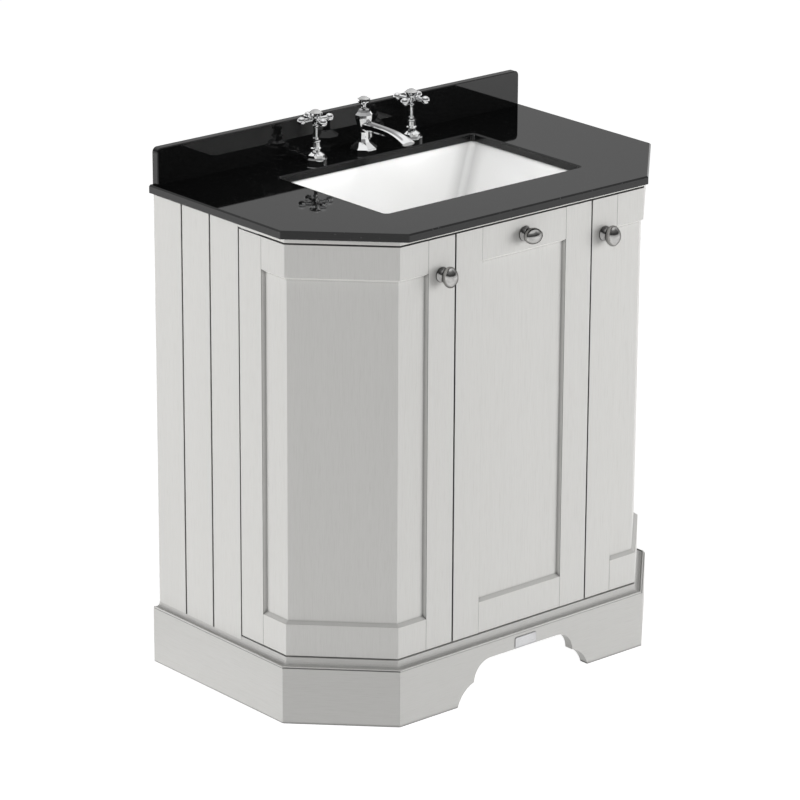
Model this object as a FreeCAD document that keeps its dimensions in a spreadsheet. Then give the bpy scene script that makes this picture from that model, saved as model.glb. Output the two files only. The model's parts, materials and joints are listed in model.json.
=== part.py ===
import FreeCAD, Part
import math
import os

import Sketcher

# Corner vanity unit. X runs along the wall, Y from the room (-) to the wall (+), Z up, floor at 0.
# Every length is in millimetres, and depths are measured from the wall plane.

SIZES = {
    "unit_height": 860,
    "body_width": 810,
    "body_depth": 480,
    "body_corner": 133,
    "board": 18,
    "door_gap": 3,
    "pass_gap": 1,
    "seat_gap": 0.3,
    "pin_play": 0.08,
    "overrun": 2,
    "strip_high": 8,
    "top_thick": 14,
    "top_side_out": 9,
    "top_front_out": 16,
    "top_corner_more": 15,
    "top_arris": 2.5,
    "cutout_side": 186,
    "cutout_back": 102,
    "cutout_front": 98,
    "cutout_round": 8,
    "splash_inset": 8,
    "splash_high": 64,
    "splash_thick": 14,
    "splash_round": 9,
    "splash_arris": 1.5,
    "plinth_high": 99.5,
    "plinth_out": 13.5,
    "plinth_corner_more": 6,
    "base_thick": 15,
    "arch_half": 149.5,
    "arch_low_wide": 36.5,
    "arch_low_high": 37,
    "arch_low_round": 56,
    "arch_nib": 3,
    "arch_high_wide": 37,
    "arch_high_high": 33,
    "arch_high_round": 38,
    "cove_out": 12.7,
    "cove_bead": 1.5,
    "cove_ledge": 1.5,
    "cove_round": 7,
    "side_depth": 226.5,
    "side_planks": 3,
    "groove_half": 1.8,
    "groove_deep": 7,
    "rail_high": 100,
    "wall_hole": 3.5,
    "wall_hole_x": 300,
    "post_deep": 58,
    "frame_open_gap": 28,
    "frame_open_back": 40,
    "frame_open_round": 10,
    "centre_width": 301,
    "stile_width": 57,
    "door_rail": 56,
    "panel_recess": 7,
    "panel_thick": 9,
    "panel_tongue": 6,
    "frame_joint": 0.3,
    "pivot_inset": 5.5,
    "pivot_radius": 2.5,
    "pivot_reach": 10,
    "pivot_plate_thick": 2,
    "pivot_plate_wide": 12,
    "pivot_plate_inset": 2.5,
    "pivot_plate_long": 46,
    "bush_radius": 4,
    "bush_long": 13,
    "knob_standout": 34,
    "knob_drop": 63,
    "knob_half_long": 18,
    "knob_half_short": 13.5,
    "knob_tip": 9.5,
    "knob_foot": 12.5,
    "knob_neck": 6,
    "flap_hinge_x": 110,
    "flap_blade": 2.5,
    "flap_eye": 3.5,
    "flap_pin": 1.5,
    "flap_pin_half": 10,
    "flap_slot_play": 0.6,
    "flap_leg": 8,
    "flap_plate_wide": 26,
    "flap_plate_long": 30,
    "stay_radius": 220,
    "stay_wide": 10,
    "stay_thick": 3,
    "stay_x": 136,
    "stay_top_angle": 86.3,
    "stay_end_angle": 39.6,
    "stay_peg": 5,
    "stay_peg_half": 3.5,
    "stay_foot_high": 44,
    "stay_foot_wide": 12,
    "stay_foot_thick": 3.5,
    "guide_near": 18,
    "guide_far": 34,
    "guide_half_high": 12,
    "guide_slot_half": 7.2,
    "guide_slot_drop": 1.5,
    "guide_slot_play": 0.4,
    "guide_wall": 2.6,
    "catch_x": 190,
    "catch_long": 46,
    "catch_high": 15,
    "catch_deep": 14,
    "strike_long": 34,
    "strike_high": 11,
    "strike_thick": 1,
    "rim_wide": 20,
    "rim_thick": 12,
    "basin_reveal": 3,
    "basin_deep": 145,
    "basin_wall": 12,
    "basin_side_slope": 46,
    "basin_front_slope": 14,
    "basin_back_slope": 6,
    "basin_top_round": 10,
    "basin_low_round": 22,
    "basin_floor_bevel": 18,
    "clip_long": 20,
    "clip_foot": 14,
    "clip_reach": 4,
    "clip_plate": 3,
    "clip_back_x": 180,
    "clip_front_x": 90,
    "waste_flange": 31.5,
    "waste_flange_thick": 3,
    "waste_seat": 19,
    "waste_tube": 20,
    "waste_tube_long": 70,
    "waste_play": 0.5,
    "waste_bore": 14,
    "waste_tail": 16,
    "waste_tail_long": 58,
    "waste_nut": 31,
    "waste_nut_thick": 10,
    "port_radius": 9,
    "port_long": 36,
    "port_nut": 13,
    "port_nut_long": 9,
    "ball_radius": 6,
    "ball_out": 26,
    "lever_drop": 54,
    "lever_radius": 2.5,
    "lever_tail": 12,
    "lever_tip": 5,
    "plug_radius": 24,
    "plug_thick": 4,
    "plug_rise": 5.5,
    "plug_stem": 4,
    "strap_wide": 14,
    "strap_thick": 1.6,
    "strap_hole": 3.6,
    "strap_tail_long": 14,
    "strap_block": 12,
    "strap_block_high": 16,
    "tap_x": 107.5,
    "tap_back": 66,
    "tap_hole": 14,
    "shank_radius": 10.4,
    "shank_long": 30,
    "tail_radius": 10,
    "tail_long": 30,
    "nut_radius": 15,
    "nut_thick": 10,
    "tap_base": 20,
    "tap_body_high": 38,
    "spindle_radius": 2.4,
    "spindle_long": 22,
    "handle_cup": 12,
    "handle_top": 86,
    "handle_axis": 74,
    "handle_reach": 27,
    "handle_left_turn": -11,
    "handle_right_turn": 24,
    "handle_ball": 7.2,
    "handle_arm_thin": 3,
    "handle_neck_angle": 34,
    "button_radius": 10.8,
    "button_high": 5.5,
    "spout_base": 24,
    "spout_high": 73,
    "arm_reach": 118,
    "arm_half_wide": 13,
    "arm_mouth": 6.5,
    "arm_mouth_depth": 166,
    "arm_mouth_low": 28,
    "arm_mouth_high": 14,
    "scroll_ring": 7.5,
    "scroll_wire": 2,
    "scroll_depth": 77,
    "scroll_high": 31,
    "scroll_sweep": 250,
    "lift_radius": 2.5,
    "lift_cup": 11,
    "lift_cup_high": 18,
    "lift_cap_radius": 9.4,
    "lift_cap_high": 4.4,
    "lift_long": 90,
}

EDGE_PLAY = 0.01
CORNER_LAG_SHARE = math.tan(math.radians(22.5))
CLIP_TURNS = (0, 180, 90, 90, -90, -90)
KNOB_STEM_SHARES = ((1, 0.08), (0.86, 0.14), (1, 0.5))
KNOB_HOLLOW_SHARE = 0.9
TAP_BODY_SHARES = (
    (1, 0), (1, 0.16), (0.95, 0.2), (0.8, 0.22), (0.8, 0.34), (0.68, 0.38), (0.43, 0.46),
    (0.41, 0.57), (0.5, 0.6), (0.5, 0.64), (0.38, 0.68), (0.36, 0.9), (0.44, 0.94), (0.44, 1))
HANDLE_SHARES = (
    (0.42, 0), (0.42, 0.06), (0.3, 0.1), (0.3, 0.44), (0.4, 0.48), (0.4, 0.52), (0.34, 0.56),
    (0.66, 0.66), (0.66, 0.82), (0.72, 0.88), (1, 0.95), (1, 1))
SPOUT_SHARES = (
    (1, 0), (1, 0.08), (0.93, 0.1), (0.43, 0.22), (0.37, 0.3), (0.36, 0.46), (0.42, 0.54),
    (0.64, 0.8), (0.64, 0.88), (0.47, 0.95), (0.38, 1))
ARM_SHARES = (
    (0, 0.7, 0.52, 0.73), (0.16, 0.66, 0.52, 0.73), (0.34, 0.58, 0.52, 0.73),
    (0.52, 0.6, 0.52, 0.72), (0.69, 0.72, 0.49, 0.7), (0.83, 0.88, 0.455, 0.66),
    (0.92, 0.96, 0.445, 0.61), (1, 1, 0.46, 0.54))
ARM_BEVEL_SHARE = 0.5
ARM_EDGE_SHARE = 0.25
ARM_LEDGE_SHARES = (0.62, 0.2)
ARM_RIB_SHARE = 0.42
NUT_SIDES = 6
SPOUT_SIDES = 8
LIFT_KNOB_SHARES = (
    (0.4, 0), (0.4, 0.1), (0.32, 0.2), (0.36, 0.42), (0.94, 0.72), (1, 0.82), (1, 1))

doc = FreeCAD.newDocument("corner_vanity")
sheet = doc.addObject("Spreadsheet::Sheet", "Sizes")
for row, (alias, number) in enumerate(SIZES.items(), start=1):
    sheet.set(f"A{row}", alias)
    sheet.set(f"B{row}", str(number))
    sheet.setAlias(f"B{row}", alias)
doc.recompute()


class Size:
    """A value that carries its number and the sheet expression that gives it."""

    def __init__(self, number, text):
        self.number = float(number)
        self.text = text

    def __add__(self, other):
        other = as_size(other)
        return Size(self.number + other.number, f"({self.text} + {other.text})")

    def __sub__(self, other):
        other = as_size(other)
        return Size(self.number - other.number, f"({self.text} - {other.text})")

    def __mul__(self, share):
        share = as_size(share)
        return Size(self.number * share.number, f"({self.text} * {share.text})")

    def __truediv__(self, share):
        share = as_size(share)
        return Size(self.number / share.number, f"({self.text} / {share.text})")

    def __neg__(self):
        return Size(-self.number, f"(0 - {self.text})")

    def cosine(self):
        return Size(math.cos(math.radians(self.number)), f"cos({self.text} * 1 deg)")

    def sine(self):
        return Size(math.sin(math.radians(self.number)), f"sin({self.text} * 1 deg)")


def as_size(value):
    return value if isinstance(value, Size) else Size(value, repr(float(value)))


def size(alias):
    return Size(sheet.get(alias), f"Sizes.{alias}")


def bind(thing, path, value):
    """Tie one property to the sheet."""
    thing.setExpression(path, as_size(value).text)


ZERO = as_size(0)
board = size("board")
overrun = size("overrun")
seat_gap = size("seat_gap")
door_gap = size("door_gap")
wall_y = (size("body_depth") + size("knob_standout")) / 2
half_body = size("body_width") / 2
top_z = size("unit_height")
under_z = top_z - size("top_thick")
frame_z = under_z - board
strip_z = under_z - size("strip_high")
door_top = strip_z - door_gap
base_z = size("plinth_high")
base_top = base_z + size("base_thick")
door_low = base_top + door_gap
half_centre = size("centre_width") / 2
half_top = half_body + size("top_side_out")
half_cutout = half_body - size("cutout_side")
half_cutout_deep = (size("body_depth") - size("cutout_back") - size("cutout_front")) / 2
basin_depth = size("cutout_back") + half_cutout_deep
rim_z = under_z - size("rim_thick")
floor_z = under_z - size("basin_deep")
rim_half_x = half_cutout + size("rim_wide")
rim_half_y = half_cutout_deep + size("rim_wide")


def at(depth):
    """Y of a place that lies this far from the wall."""
    return wall_y - depth


class Arc:
    """A round stretch from one outline point to the next; turn is 1 anticlockwise, -1 clockwise."""

    def __init__(self, radius, turn):
        self.radius = as_size(radius)
        self.turn = turn


class Circle:
    """A whole circle in an outline list."""

    def __init__(self, x, y, radius):
        self.x = as_size(x)
        self.y = as_size(y)
        self.radius = as_size(radius)


def arc_geometry(start, end, radius, turn):
    """The lesser arc between two points, turning the given way."""
    chord = end.sub(start)
    half = chord.Length / 2
    rise = math.sqrt(max(radius * radius - half * half, 0))
    left = FreeCAD.Vector(-chord.y, chord.x, 0).normalize()
    centre = start.add(end).multiply(0.5).add(left.multiply(rise * turn))
    first, last = (start, end) if turn > 0 else (end, start)
    circle = Part.Circle(centre, FreeCAD.Vector(0, 0, 1), radius)
    low = math.atan2(first.y - centre.y, first.x - centre.x)
    high = math.atan2(last.y - centre.y, last.x - centre.x)
    if high < low:
        high += 2 * math.pi
    return Part.ArcOfCircle(circle, low, high)


def tie_point(sketch, index, position, x, y):
    """Hold a sketch point at a place given by sizes."""
    for kind, value in (("DistanceX", x), ("DistanceY", y)):
        number = sketch.addConstraint(
            Sketcher.Constraint(kind, -1, 1, index, position, as_size(value).number))
        bind(sketch, f"Constraints[{number}]", value)


def draw_circle(sketch, circle):
    centre = FreeCAD.Vector(circle.x.number, circle.y.number, 0)
    shape = Part.Circle(centre, FreeCAD.Vector(0, 0, 1), circle.radius.number)
    index = sketch.addGeometry(shape, False)
    tie_point(sketch, index, 3, circle.x, circle.y)
    number = sketch.addConstraint(Sketcher.Constraint("Radius", index, circle.radius.number))
    bind(sketch, f"Constraints[{number}]", circle.radius)


def draw_loop(sketch, outline):
    """Draw a closed outline: points (x, y), each optionally followed by the Arc to the next point."""
    points = [FreeCAD.Vector(as_size(p[0]).number, as_size(p[1]).number, 0) for p in outline]
    shapes = []
    ends = []
    for index, point in enumerate(outline):
        start = points[index]
        end = points[(index + 1) % len(points)]
        arc = point[2] if len(point) > 2 else None
        if arc is None:
            shapes.append(Part.LineSegment(start, end))
            ends.append((1, 2))
        else:
            shapes.append(arc_geometry(start, end, arc.radius.number, arc.turn))
            ends.append((1, 2) if arc.turn > 0 else (2, 1))
    first = sketch.addGeometry(shapes, False)[0]
    for index, point in enumerate(outline):
        before = (index - 1) % len(outline)
        sketch.addConstraint(Sketcher.Constraint(
            "Coincident", first + before, ends[before][1], first + index, ends[index][0]))
        tie_point(sketch, first + index, ends[index][0], point[0], point[1])
        if len(point) > 2:
            number = sketch.addConstraint(
                Sketcher.Constraint("Radius", first + index, point[2].radius.number))
            bind(sketch, f"Constraints[{number}]", point[2].radius)


def new_body(label):
    body = doc.addObject("PartDesign::Body", label)
    body.Label = label
    return body


def new_sketch(body, role, start, outlines):
    """A sketch on one of the body's own planes, moved along that plane's normal to start."""
    plane = next(item for item in body.Origin.OriginFeatures if item.Role == role)
    sketch = body.newObject("Sketcher::SketchObject", f"{body.Name}_outline")
    sketch.AttachmentSupport = [(plane, "")]
    sketch.MapMode = "FlatFace"
    bind(sketch, "AttachmentOffset.Base.z", start)
    for outline in outlines:
        if isinstance(outline, Circle):
            draw_circle(sketch, outline)
        else:
            draw_loop(sketch, outline)
    sketch.Visibility = False
    return sketch


def add_pad(body, role, start, length, outlines):
    sketch = new_sketch(body, role, start, outlines)
    pad = body.newObject("PartDesign::Pad", f"{body.Name}_pad")
    pad.Profile = sketch
    bind(pad, "Length", length)
    return pad


def add_pocket(body, role, start, length, outlines):
    """Cut a slab that begins at start and runs along the plane's normal."""
    sketch = new_sketch(body, role, start, outlines)
    pocket = body.newObject("PartDesign::Pocket", f"{body.Name}_pocket")
    pocket.Profile = sketch
    pocket.Reversed = True
    bind(pocket, "Length", length)
    return pocket


def add_turning(body, outline):
    """Turn a half outline of (radius, height) points about the body's own Z axis."""
    sketch = new_sketch(body, "XZ_Plane", ZERO, [outline])
    turning = body.newObject("PartDesign::Revolution", f"{body.Name}_turning")
    turning.Profile = sketch
    turning.ReferenceAxis = (sketch, ["V_Axis"])
    turning.Angle = 360
    return turning


def add_loft(body, kind, role, sections, ruled=True):
    """Loft through outlines given as (place along the plane's normal, outline)."""
    sketches = [new_sketch(body, role, place, [outline]) for place, outline in sections]
    loft = body.newObject(kind, f"{body.Name}_loft")
    loft.Profile = sketches[0]
    loft.Sections = sketches[1:]
    loft.Ruled = ruled
    return loft


def edge_names(shape, wanted):
    return [f"Edge{number}" for number, edge in enumerate(shape.Edges, start=1) if wanted(edge)]


def add_edge_feature(body, kind, path, value, wanted):
    """Round or bevel the edges of the body's tip that wanted() picks."""
    doc.recompute()
    tip = body.Tip
    feature = body.newObject(kind, f"{body.Name}_edges")
    feature.Base = (tip, edge_names(tip.Shape, wanted))
    bind(feature, path, value)
    return feature


def place(thing, x, y, z, rotation=None):
    if rotation is not None:
        thing.Placement = FreeCAD.Placement(FreeCAD.Vector(0, 0, 0), rotation)
    bind(thing, "Placement.Base.x", x)
    bind(thing, "Placement.Base.y", y)
    bind(thing, "Placement.Base.z", z)
    return thing


def turn(x, y, z, degrees):
    return FreeCAD.Rotation(FreeCAD.Vector(x, y, z), degrees)


def prism(label, role, start, length, outlines):
    body = new_body(label)
    add_pad(body, role, start, length, outlines)
    return body


def turned(label, outline):
    body = new_body(label)
    add_turning(body, outline)
    return body


def box(name, corner, lengths):
    thing = doc.addObject("Part::Box", name)
    for path, value in zip(("Length", "Width", "Height"), lengths):
        bind(thing, path, value)
    return place(thing, *corner)


def cylinder(name, base, radius, length, rotation=None):
    thing = doc.addObject("Part::Cylinder", name)
    bind(thing, "Radius", radius)
    bind(thing, "Height", length)
    return place(thing, *base, rotation)


def cut(label, base, tools):
    """Take every tool away from the base, one after another."""
    for number, tool in enumerate(tools, start=1):
        result = doc.addObject("Part::Cut", f"{label}_cut{number}")
        result.Base = base
        result.Tool = tool
        base = result
    base.Label = label
    return base


def fuse(label, pieces):
    result = doc.addObject("Part::MultiFuse", f"{label}_joined")
    result.Shapes = pieces
    result.Label = label
    return result


def group(label, pieces):
    """Identical pieces that share one node."""
    result = doc.addObject("Part::Compound", f"{label}_group")
    result.Links = pieces
    result.Label = label
    return result


def mirrored(label, source):
    """The piece's twin on the other side of the middle plane."""
    result = doc.addObject("Part::Mirroring", f"{label}_twin")
    result.Source = source
    result.Normal = FreeCAD.Vector(1, 0, 0)
    result.Label = label
    return result


def both_sides(outline):
    """Close a left-hand run of (x, y) points with its mirror image."""
    return outline + [(-x, y) for x, y in reversed(outline)]


def body_run(inset, start_depth=ZERO):
    """The left-hand run of the cabinet's outline, drawn in by inset, from start_depth to the front."""
    lag = inset * CORNER_LAG_SHARE
    side = -(half_body - inset)
    return [
        (side, at(start_depth)),
        (side, at(size("body_depth") - size("body_corner") - lag)),
        (-(half_body - size("body_corner") - lag), at(size("body_depth") - inset)),
    ]


def rounded_rectangle(half_x, middle_y, half_y, radius):
    """A rectangle with round corners, anticlockwise."""
    low, high = middle_y - half_y, middle_y + half_y
    corner = Arc(radius, 1)
    return [
        (-half_x + radius, low),
        (half_x - radius, low, corner),
        (half_x, low + radius),
        (half_x, high - radius, corner),
        (half_x - radius, high),
        (-half_x + radius, high, corner),
        (-half_x, high - radius),
        (-half_x, low + radius, corner),
    ]


def rectangle(low_x, low_y, high_x, high_y):
    return [(low_x, low_y), (high_x, low_y), (high_x, high_y), (low_x, high_y)]


# Worktop with the basin cut-out and three tap holes

def make_worktop():
    corner = size("body_corner") + size("top_corner_more")
    depth = size("body_depth") + size("top_front_out")
    run = [(-half_top, at(ZERO)), (-half_top, at(depth - corner)),
           (-(half_top - corner), at(depth))]
    middle = at(basin_depth)
    hole = rounded_rectangle(half_cutout, middle, half_cutout_deep, size("cutout_round"))
    taps = [Circle(x, at(size("tap_back")), size("tap_hole"))
            for x in (-size("tap_x"), ZERO, size("tap_x"))]
    body = prism("worktop", "XY_Plane", under_z, size("top_thick"), [both_sides(run), hole] + taps)
    level = top_z.number
    back = wall_y.number

    def on_arris(edge):
        low = edge.BoundBox
        flat = abs(low.ZMin - level) < EDGE_PLAY and abs(low.ZMax - level) < EDGE_PLAY
        against_wall = low.YMin > back - EDGE_PLAY
        return flat and not against_wall and isinstance(edge.Curve, Part.Line)

    add_edge_feature(body, "PartDesign::Chamfer", "Size", size("top_arris"), on_arris)
    return body


# Upstand along the wall, with round ends

def make_splashback():
    half = half_top - size("splash_inset")
    low, high = top_z, top_z + size("splash_high")
    radius = size("splash_round")
    corner = Arc(radius, 1)
    outline = [
        (-half, low),
        (half, low),
        (half, high - radius, corner),
        (half - radius, high),
        (-half + radius, high, corner),
        (-half, high - radius),
    ]
    body = prism("splashback", "XZ_Plane", -wall_y, size("splash_thick"), [outline])
    front = at(size("splash_thick")).number

    def on_front(edge):
        reach = edge.BoundBox
        flat = abs(reach.YMin - front) < EDGE_PLAY and abs(reach.YMax - front) < EDGE_PLAY
        return flat and reach.ZMax > low.number + EDGE_PLAY

    add_edge_feature(body, "PartDesign::Chamfer", "Size", size("splash_arris"), on_front)
    return body


# Cabinet sides with upright V-grooves that make them look like three planks

def make_side_panel():
    outer = -half_body
    depth = size("side_depth")
    outline = [(outer, at(ZERO))]
    plank = depth / size("side_planks")
    for number in range(1, int(size("side_planks").number)):
        groove = plank * number
        outline += [
            (outer, at(groove - size("groove_half"))),
            (outer + size("groove_deep"), at(groove)),
            (outer, at(groove + size("groove_half"))),
        ]
    outline += [(outer, at(depth)), (outer + board, at(depth)), (outer + board, at(ZERO))]
    return prism("side_panel_left", "XY_Plane", base_z, under_z - base_z, [outline])


def make_base_panel():
    """The cupboard's floor: it lies between the side panels and shows under the doors."""
    side = size("side_depth")
    inner = -(half_body - board)
    outline = [(inner, at(ZERO)), (inner, at(side))] + body_run(ZERO, side)
    return prism("base_panel", "XY_Plane", base_z, size("base_thick"), [both_sides(outline)])


def make_top_frame():
    """A board with a large opening, rebated below its front edge so that the doors pass under it."""
    side = size("side_depth")
    inner = -(half_body - board)
    back = size("frame_open_back")
    front = basin_depth + rim_half_y + size("frame_open_gap")
    opening = rounded_rectangle(rim_half_x + size("frame_open_gap"), at((back + front) / 2),
                                (front - back) / 2, size("frame_open_round"))
    strip = [(inner, at(ZERO)), (inner, at(side))] + body_run(ZERO, side)
    rebated = [(inner, at(ZERO)), (inner, at(side))] + body_run(board + door_gap, side)
    body = prism("top_frame", "XY_Plane", strip_z, size("strip_high"), [both_sides(strip), opening])
    add_pad(body, "XY_Plane", frame_z, strip_z - frame_z, [both_sides(rebated), opening])
    return body


def make_back_rail(label, low, holes=()):
    inner = half_body - board
    outline = rectangle(-inner, low, inner, low + size("rail_high"))
    return prism(label, "XZ_Plane", -wall_y, board, [outline, *holes])


def make_wall_rail():
    """The upper back rail, with a screw hole near each end for the wall."""
    low = frame_z - size("rail_high")
    holes = [Circle(x, low + size("rail_high") / 2, size("wall_hole"))
             for x in (-size("wall_hole_x"), size("wall_hole_x"))]
    return make_back_rail("back_rail_top", low, holes)


def make_front_post():
    """The upright behind the gap between a corner door and the flap."""
    middle = -(half_centre + door_gap / 2)
    front = size("body_depth") - board - door_gap
    outline = rectangle(middle - board / 2, at(front), middle + board / 2,
                        at(front - size("post_deep")))
    return prism("front_post_left", "XY_Plane", base_top, frame_z - base_top, [outline])


# Plinth: mitred boards round three sides, a rear rail and the cove above them

plinth_half = half_body + size("plinth_out")
plinth_depth = size("body_depth") + size("plinth_out")
plinth_lag = board * CORNER_LAG_SHARE
plinth_clip = size("body_corner") + size("plinth_corner_more")
plinth_turn = plinth_depth - plinth_clip
plinth_outer_a = (-plinth_half, at(plinth_turn))
plinth_outer_b = (-(plinth_half - plinth_clip), at(plinth_depth))
plinth_inner_a = (-(plinth_half - board), at(plinth_turn - plinth_lag))
plinth_inner_b = (-(plinth_half - plinth_clip - plinth_lag), at(plinth_depth - board))


def make_plinth_side():
    outline = [(-plinth_half, at(ZERO)), plinth_outer_a, plinth_inner_a,
               (-(plinth_half - board), at(ZERO))]
    return prism("plinth_side_left", "XY_Plane", ZERO, base_z, [outline])


def make_plinth_corner():
    outline = [plinth_outer_a, plinth_outer_b, plinth_inner_b, plinth_inner_a]
    return prism("plinth_corner_left", "XY_Plane", ZERO, base_z, [outline])


def make_plinth_front():
    """The front board, cut away between its feet by two hollow scallops each side."""
    outline = [plinth_outer_b, (-plinth_outer_b[0], plinth_outer_b[1]),
               (-plinth_inner_b[0], plinth_inner_b[1]), plinth_inner_b]
    body = prism("plinth_front", "XY_Plane", ZERO, base_z, [outline])
    foot = size("arch_half")
    waist = foot - size("arch_low_wide")
    head = waist - size("arch_high_wide")
    step_low = size("arch_low_high")
    step_high = step_low + size("arch_nib")
    crown = step_high + size("arch_high_high")
    low_arc = Arc(size("arch_low_round"), 1)
    high_arc = Arc(size("arch_high_round"), 1)
    arch = [
        (-foot, -overrun),
        (foot, -overrun),
        (foot, ZERO, low_arc),
        (waist, step_low),
        (waist, step_high, high_arc),
        (head, crown),
        (-head, crown, high_arc),
        (-waist, step_high),
        (-waist, step_low, low_arc),
        (-foot, ZERO),
    ]
    start = -at(plinth_depth - board - overrun)
    add_pocket(body, "XZ_Plane", start, board + overrun * 2, [arch])
    return body


def make_plinth_rear():
    inner = plinth_half - board
    return prism("plinth_rear", "XY_Plane", ZERO, base_z,
                 [rectangle(-inner, at(board), inner, at(ZERO))])


def make_plinth_moulding():
    """A cove strip that leads from the cabinet's face out to the plinth, round three sides."""
    body = new_body("plinth_moulding")
    path = body.newObject("Sketcher::SketchObject", "moulding_path")
    plane = next(item for item in body.Origin.OriginFeatures if item.Role == "XY_Plane")
    path.AttachmentSupport = [(plane, "")]
    path.MapMode = "FlatFace"
    bind(path, "AttachmentOffset.Base.z", base_z)
    run = both_sides(body_run(ZERO))
    points = [FreeCAD.Vector(x.number, y.number, 0) for x, y in run]
    for start, end in zip(points, points[1:]):
        path.addGeometry(Part.LineSegment(start, end), False)
    for index in range(len(run) - 1):
        tie_point(path, index, 1, *run[index])
        if index:
            path.addConstraint(Sketcher.Constraint("Coincident", index - 1, 2, index, 1))
    tie_point(path, len(run) - 2, 2, *run[-1])
    face = -half_body
    out = size("cove_out")
    hollow = size("cove_round")
    bead = size("cove_bead")
    ledge = base_z + size("cove_ledge")
    profile = [
        (face, base_z),
        (face, ledge + hollow, Arc(hollow, -1)),
        (face - hollow, ledge),
        (face - out + bead * 2, ledge, Arc(bead, 1)),
        (face - out + bead, ledge + bead, Arc(bead, 1)),
        (face - out, ledge),
        (face - out, base_z),
    ]
    section = new_sketch(body, "XZ_Plane", -wall_y, [profile])
    doc.recompute()
    pipe = body.newObject("PartDesign::AdditivePipe", "moulding_sweep")
    pipe.Profile = section
    pipe.Spine = (path, [f"Edge{number}" for number in range(1, len(run))])
    pipe.Transition = "Right corner"
    return body


# Doors: a frame of stiles and rails round a recessed panel that sits in grooves

panel_outer = size("panel_recess")
panel_inner = panel_outer + size("panel_thick")
tongue = size("panel_tongue")
joint = size("frame_joint")
hinge_depth = size("side_depth") + door_gap
latch_x = -(half_centre + door_gap)
stile_end_depth = hinge_depth + size("stile_width")
stile_end_x = latch_x - size("stile_width")
rail_top_low = door_top - size("door_rail")
rail_low_top = door_low + size("door_rail")


def bent_strip(outer, inner, start_depth, end_x):
    """A strip that follows the cabinet's corner between two insets."""
    lead = body_run(outer, start_depth)
    back = body_run(inner, start_depth)
    return lead + [(end_x, at(size("body_depth") - outer)), (end_x, at(size("body_depth") - inner))] \
        + back[::-1]


def make_corner_door():
    """The left door: side, corner and front faces in one bent frame."""
    panel = prism("left_door_panel", "XY_Plane", rail_low_top - tongue,
                  rail_top_low - rail_low_top + tongue * 2,
                  [bent_strip(panel_outer, panel_inner, stile_end_depth - tongue,
                              stile_end_x + tongue)])
    high = door_top - door_low
    hinge_blank = prism("hinge_stile_blank", "XY_Plane", door_low, high,
                        [rectangle(-half_body, at(stile_end_depth), -half_body + board,
                                   at(hinge_depth))])
    latch_blank = prism("latch_stile_blank", "XY_Plane", door_low, high,
                        [rectangle(stile_end_x, at(size("body_depth")), latch_x,
                                   at(size("body_depth") - board))])
    strip = bent_strip(ZERO, board, stile_end_depth + joint, stile_end_x - joint)
    top_blank = prism("top_rail_blank", "XY_Plane", rail_top_low, size("door_rail"), [strip])
    low_blank = prism("bottom_rail_blank", "XY_Plane", door_low, size("door_rail"), [strip])
    bore = size("bush_radius") + size("pin_play")
    sockets = [
        cylinder("left_socket_low", (pivot_x, pivot_y, door_low - overrun), bore,
                 size("bush_long") + overrun),
        cylinder("left_socket_high", (pivot_x, pivot_y, door_top - size("bush_long")), bore,
                 size("bush_long") + overrun),
    ]
    hinge = cut("left_door_hinge_stile", hinge_blank, [panel] + sockets)
    latch = cut("left_door_latch_stile", latch_blank, [panel])
    top = cut("left_door_top_rail", top_blank, [panel])
    low = cut("left_door_bottom_rail", low_blank, [panel])
    return hinge, latch, top, low, panel


pivot_x = -half_body + size("pivot_inset")
pivot_y = at(hinge_depth + size("pivot_inset"))


def make_door_bushes():
    """Flanged-less bearing sleeves pressed into the hinge stile's two ends."""
    sleeve = [
        (size("pivot_radius") + size("pin_play"), ZERO),
        (size("bush_radius"), ZERO),
        (size("bush_radius"), size("bush_long")),
        (size("pivot_radius") + size("pin_play"), size("bush_long")),
    ]
    low = place(turned("left_bush_low", sleeve), pivot_x, pivot_y, door_low)
    high = place(turned("left_bush_high", sleeve), pivot_x, pivot_y,
                 door_top - size("bush_long"))
    return group("left_door_bushes", [low, high])


def make_pivot_plate(name, low, pin_low):
    """A plate in the door gap with the pin that the door turns on."""
    wide = size("pivot_plate_wide")
    inset = size("pivot_inset")
    plate = box(f"{name}_plate",
                (pivot_x - inset + size("pivot_plate_inset"),
                 pivot_y + inset - size("pivot_plate_long"), low),
                (wide, size("pivot_plate_long"), size("pivot_plate_thick")))
    pin = cylinder(f"{name}_pin", (pivot_x, pivot_y, pin_low), size("pivot_radius"),
                   size("pivot_plate_thick") + size("pivot_reach"))
    return fuse(name, [plate, pin])


def make_door_pivots():
    low = make_pivot_plate("left_pivot_low", base_top, base_top)
    high = make_pivot_plate("left_pivot_high", strip_z - size("pivot_plate_thick"),
                            strip_z - size("pivot_plate_thick") - size("pivot_reach"))
    return group("door_pivots", [low, high, mirrored("right_pivot_low", low),
                                 mirrored("right_pivot_high", high)])


# Flap: the flat middle door, hinged at its foot and held by two quadrant stays

flap_axis_depth = size("body_depth") - size("pivot_inset")
flap_axis_y = at(flap_axis_depth)
flap_axis_z = door_low + size("pivot_inset")


def flap_board(name, low_x, high_x, low_z, high_z, outer, inner):
    front = at(size("body_depth") - outer)
    back = at(size("body_depth") - inner)
    return box(name, (low_x, front, low_z), (high_x - low_x, back - front, high_z - low_z))


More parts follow.
